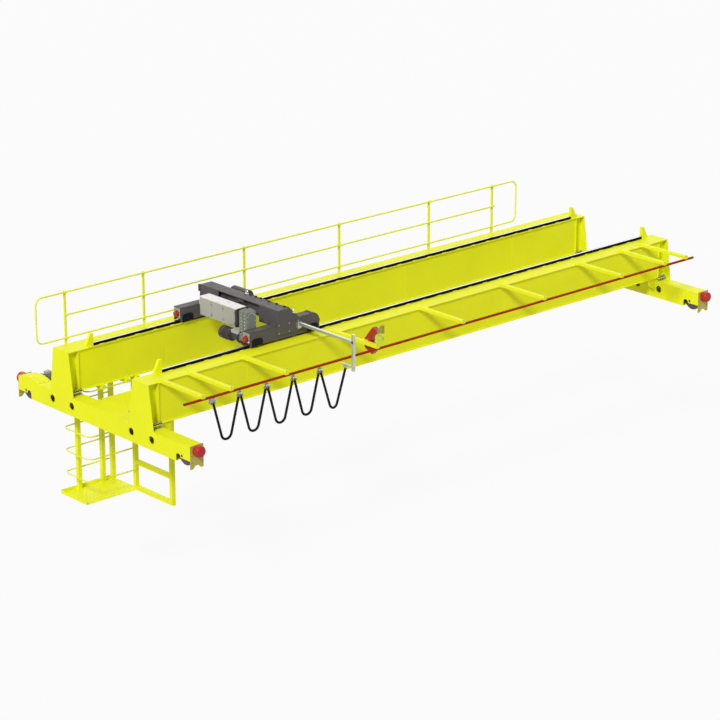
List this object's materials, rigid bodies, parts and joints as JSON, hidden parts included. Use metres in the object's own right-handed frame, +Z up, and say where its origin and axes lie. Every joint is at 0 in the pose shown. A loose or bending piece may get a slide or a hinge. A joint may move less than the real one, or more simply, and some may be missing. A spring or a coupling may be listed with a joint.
{
  "type": "double-girder overhead travelling crane",
  "caption": "Yellow double-girder overhead crane on end trucks, with a grey hoist trolley, a handrail, a cable festoon and an access cage under one truck.",
  "frame": {"origin": "mid-span between the girders, level with the tops of the two runway rails that the wheels stand on", "axes": "+X along the girders from the end with the cage towards the other end, +Y along the runway towards the girder with the handrail, +Z up"},
  "size_m": [15.177, 5.87, 4.443],
  "materials": {
    "crane_paint": "semi-gloss yellow paint",
    "buffer_rubber": "satin red rubber",
    "wheel_iron": "machined tread, dark body",
    "cable_sheath": "matt black sheath",
    "bare_steel": "zinc plated",
    "drive_paint": "satin grey paint",
    "rail_steel": "near black",
    "track_paint": "satin red paint",
    "horn_paint": "gloss red paint",
    "trolley_paint": "satin dark grey paint",
    "hook_paint": "satin dark grey paint",
    "motor_paint": "satin dark grey paint",
    "rope_steel": "greased wire rope",
    "cabinet_paint": "satin light grey paint",
    "gearbox_paint": "satin light grey paint",
    "tow_arm_steel": "galvanised"
  },
  "bodies": {
    "root": {"left_outer_plate": "crane_paint", "right_outer_plate": "crane_paint", "truck_inner_plates": "crane_paint", "truck_flanges": "crane_paint", "truck_end_plates": "crane_paint", "wheel_covers": "crane_paint", "truck_buffers": "buffer_rubber", "travel_drives": "drive_paint", "near_girder_flanges": "crane_paint", "near_girder_webs": "crane_paint", "far_girder_flanges": "crane_paint", "far_girder_webs": "crane_paint", "girder_end_stiffeners": "crane_paint", "girder_seats": "crane_paint", "trolley_rails": "rail_steel", "rail_stops": "crane_paint", "handrail_posts": "crane_paint", "handrail_rails": "crane_paint", "handrail_end_bows": "crane_paint", "festoon_arms": "crane_paint", "festoon_track": "track_paint", "festoon_end_clamp": "bare_steel", "cable_loop_1": "cable_sheath", "cable_loop_2": "cable_sheath", "cable_loop_3": "cable_sheath", "cable_loop_4": "cable_sheath", "cable_loop_5": "cable_sheath", "warning_horn": "horn_paint", "cage_platforms": "crane_paint", "cage_posts": "crane_paint", "cage_hoops": "crane_paint", "cage_hangers": "crane_paint", "collector_frame": "crane_paint"},
    "trolley": {"trolley_side_frames": "trolley_paint", "cross_beam": "trolley_paint", "hoist_cabinet": "cabinet_paint", "gearbox": "gearbox_paint", "travel_motor": "motor_paint", "rope_drum": "trolley_paint", "drum_drive": "motor_paint", "hook_block": "hook_paint", "hoist_ropes": "rope_steel", "tow_arm": "tow_arm_steel", "trolley_buffers": "buffer_rubber"},
    "truck_wheel_left_near": {"truck_wheel_left_near": "wheel_iron"},
    "truck_wheel_left_far": {"truck_wheel_left_far": "wheel_iron"},
    "truck_wheel_right_near": {"truck_wheel_right_near": "wheel_iron"},
    "truck_wheel_right_far": {"truck_wheel_right_far": "wheel_iron"},
    "trolley_wheel_front_near": {"trolley_wheel_front_near": "wheel_iron"},
    "trolley_wheel_front_far": {"trolley_wheel_front_far": "wheel_iron"},
    "trolley_wheel_rear_near": {"trolley_wheel_rear_near": "wheel_iron"},
    "trolley_wheel_rear_far": {"trolley_wheel_rear_far": "wheel_iron"},
    "cable_carrier_1": {"cable_carrier_1": "bare_steel"},
    "cable_carrier_2": {"cable_carrier_2": "bare_steel"},
    "cable_carrier_3": {"cable_carrier_3": "bare_steel"},
    "cable_carrier_4": {"cable_carrier_4": "bare_steel"}
  },
  "joints": [
    {"name": "trolley_travel", "type": "slide", "parent": "root", "child": "trolley", "axis": [1, 0, 0], "range_m": [-2.087, 9.653], "deforming": ["cable_loop_1", "cable_loop_2", "cable_loop_3", "cable_loop_4", "cable_loop_5"]},
    {"name": "carrier_1_travel", "type": "slide", "parent": "root", "child": "cable_carrier_1", "axis": [1, 0, 0], "range_m": [-0.4224, 1.9356]},
    {"name": "carrier_2_travel", "type": "slide", "parent": "root", "child": "cable_carrier_2", "axis": [1, 0, 0], "range_m": [-0.8398, 3.8662]},
    {"name": "carrier_3_travel", "type": "slide", "parent": "root", "child": "cable_carrier_3", "axis": [1, 0, 0], "range_m": [-1.2572, 5.7968]},
    {"name": "carrier_4_travel", "type": "slide", "parent": "root", "child": "cable_carrier_4", "axis": [1, 0, 0], "range_m": [-1.6746, 7.7274]},
    {"name": "truck_wheel_left_near_spin", "type": "hinge", "parent": "root", "child": "truck_wheel_left_near", "pos_m": [-7.225, -2.525, 0.2], "axis": [1, 0, 0], "continuous": true},
    {"name": "truck_wheel_left_far_spin", "type": "hinge", "parent": "root", "child": "truck_wheel_left_far", "pos_m": [-7.225, 2.525, 0.2], "axis": [1, 0, 0], "continuous": true},
    {"name": "truck_wheel_right_near_spin", "type": "hinge", "parent": "root", "child": "truck_wheel_right_near", "pos_m": [7.225, -2.525, 0.2], "axis": [1, 0, 0], "continuous": true},
    {"name": "truck_wheel_right_far_spin", "type": "hinge", "parent": "root", "child": "truck_wheel_right_far", "pos_m": [7.225, 2.525, 0.2], "axis": [1, 0, 0], "continuous": true},
    {"name": "trolley_wheel_front_near_spin", "type": "hinge", "parent": "trolley", "child": "trolley_wheel_front_near", "pos_m": [-4.398, -1.1, 1.5433], "axis": [0, 1, 0], "continuous": true},
    {"name": "trolley_wheel_front_far_spin", "type": "hinge", "parent": "trolley", "child": "trolley_wheel_front_far", "pos_m": [-4.398, 1.1, 1.5433], "axis": [0, 1, 0], "continuous": true},
    {"name": "trolley_wheel_rear_near_spin", "type": "hinge", "parent": "trolley", "child": "trolley_wheel_rear_near", "pos_m": [-2.938, -1.1, 1.5433], "axis": [0, 1, 0], "continuous": true},
    {"name": "trolley_wheel_rear_far_spin", "type": "hinge", "parent": "trolley", "child": "trolley_wheel_rear_far", "pos_m": [-2.938, 1.1, 1.5433], "axis": [0, 1, 0], "continuous": true}
  ],
  "couplings": [
    {"joint": "carrier_1_travel", "follows": "trolley_travel", "ratio": 0.2},
    {"joint": "carrier_2_travel", "follows": "trolley_travel", "ratio": 0.4},
    {"joint": "carrier_3_travel", "follows": "trolley_travel", "ratio": 0.6},
    {"joint": "carrier_4_travel", "follows": "trolley_travel", "ratio": 0.8}
  ]
}
